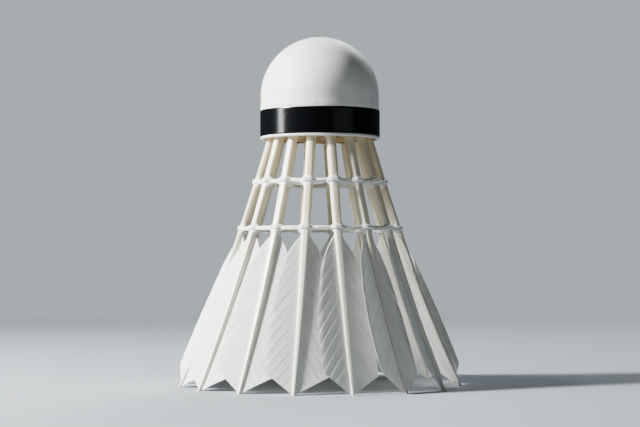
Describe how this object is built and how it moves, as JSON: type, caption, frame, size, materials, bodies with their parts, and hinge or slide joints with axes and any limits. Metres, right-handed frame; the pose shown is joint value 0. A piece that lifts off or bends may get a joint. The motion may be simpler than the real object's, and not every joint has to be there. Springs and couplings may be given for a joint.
{
  "type": "badminton shuttlecock",
  "caption": "Feather badminton shuttlecock: leather-covered round cork head with black edge tape, and an open cone of overlapping goose feathers tied by two thread rings.",
  "frame": {"origin": "centre of the circle of feather tips, in the plane the tips stand on", "axes": "+Z along the axis from the open end of the skirt to the crown of the head; -Y through the shaft of feather 01"},
  "size_m": [0.0672, 0.0672, 0.0823],
  "materials": {
    "leather_white": "fine-grained, satin",
    "cork": "natural cork, matte",
    "black_tape": "gloss",
    "glue": "dried clear glue",
    "thread": "twisted thread under a coat of glue",
    "quill": "cream horn, satin",
    "feather_vane": "white feather barbs, soft sheen"
  },
  "bodies": {
    "root": {"cork_nose": "cork", "cork_base": "cork", "leather_cover": "leather_white", "edge_tape": "black_tape", "quill_glue": "glue", "upper_thread_1": "thread", "upper_thread_2": "thread", "lower_thread_1": "thread", "lower_thread_2": "thread", "feather_01_shaft": "quill", "feather_01_vane": "feather_vane", "feather_02_shaft": "quill", "feather_02_vane": "feather_vane", "feather_03_shaft": "quill", "feather_03_vane": "feather_vane", "feather_04_shaft": "quill", "feather_04_vane": "feather_vane", "feather_05_shaft": "quill", "feather_05_vane": "feather_vane", "feather_06_shaft": "quill", "feather_06_vane": "feather_vane", "feather_07_shaft": "quill", "feather_07_vane": "feather_vane", "feather_08_shaft": "quill", "feather_08_vane": "feather_vane", "feather_09_shaft": "quill", "feather_09_vane": "feather_vane", "feather_10_shaft": "quill", "feather_10_vane": "feather_vane", "feather_11_shaft": "quill", "feather_11_vane": "feather_vane", "feather_12_shaft": "quill", "feather_12_vane": "feather_vane", "feather_13_shaft": "quill", "feather_13_vane": "feather_vane", "feather_14_shaft": "quill", "feather_14_vane": "feather_vane", "feather_15_shaft": "quill", "feather_15_vane": "feather_vane", "feather_16_shaft": "quill", "feather_16_vane": "feather_vane"}
  },
  "joints": []
}
